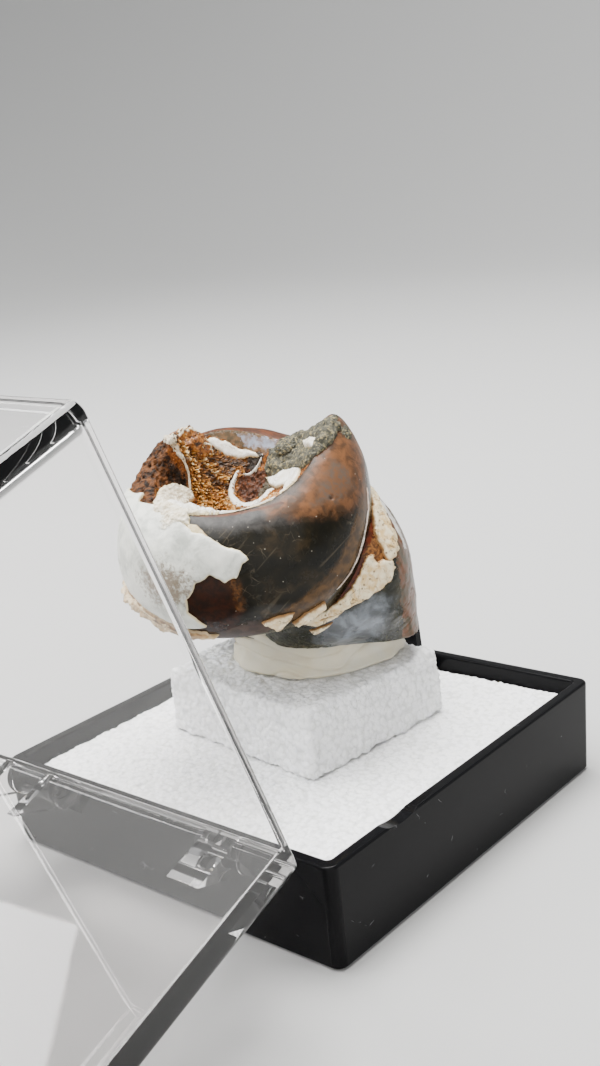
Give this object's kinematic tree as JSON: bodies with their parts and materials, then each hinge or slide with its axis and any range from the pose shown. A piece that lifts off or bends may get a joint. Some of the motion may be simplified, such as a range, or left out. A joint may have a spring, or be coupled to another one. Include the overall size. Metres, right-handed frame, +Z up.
{
  "type": "fossil snail shell in a hinged specimen box",
  "caption": "Broken fossil snail shell with a crystal-lined spire pit, held by putty on a foam block in a square black specimen box with a clear hinged lid.",
  "frame": {"origin": "centre of the box base's underside", "axes": "+Z up, -Y towards the hinge wall, +X along the hinge axis"},
  "size_m": [0.054, 0.1176, 0.0653],
  "materials": {
    "fossil_shell": "glossy dark brown stone cast with chalky white shell wall",
    "putty": "soft, matt",
    "foam_block": "fine open foam, matt",
    "foam_sheet": "fine open foam, matt",
    "box_base": "glossy moulded black",
    "lid": "clear and glossy"
  },
  "bodies": {
    "base": {"box_base": "box_base", "foam_sheet": "foam_sheet", "foam_block": "foam_block", "putty": "putty", "fossil_shell": "fossil_shell"},
    "lid": {"lid": "lid"}
  },
  "joints": [
    {"name": "lid_hinge", "type": "hinge", "parent": "base", "child": "lid", "pos_m": [0, -0.0298, 0.0121], "axis": [1, 0, 0], "range_deg": [-109.8, 95]}
  ]
}
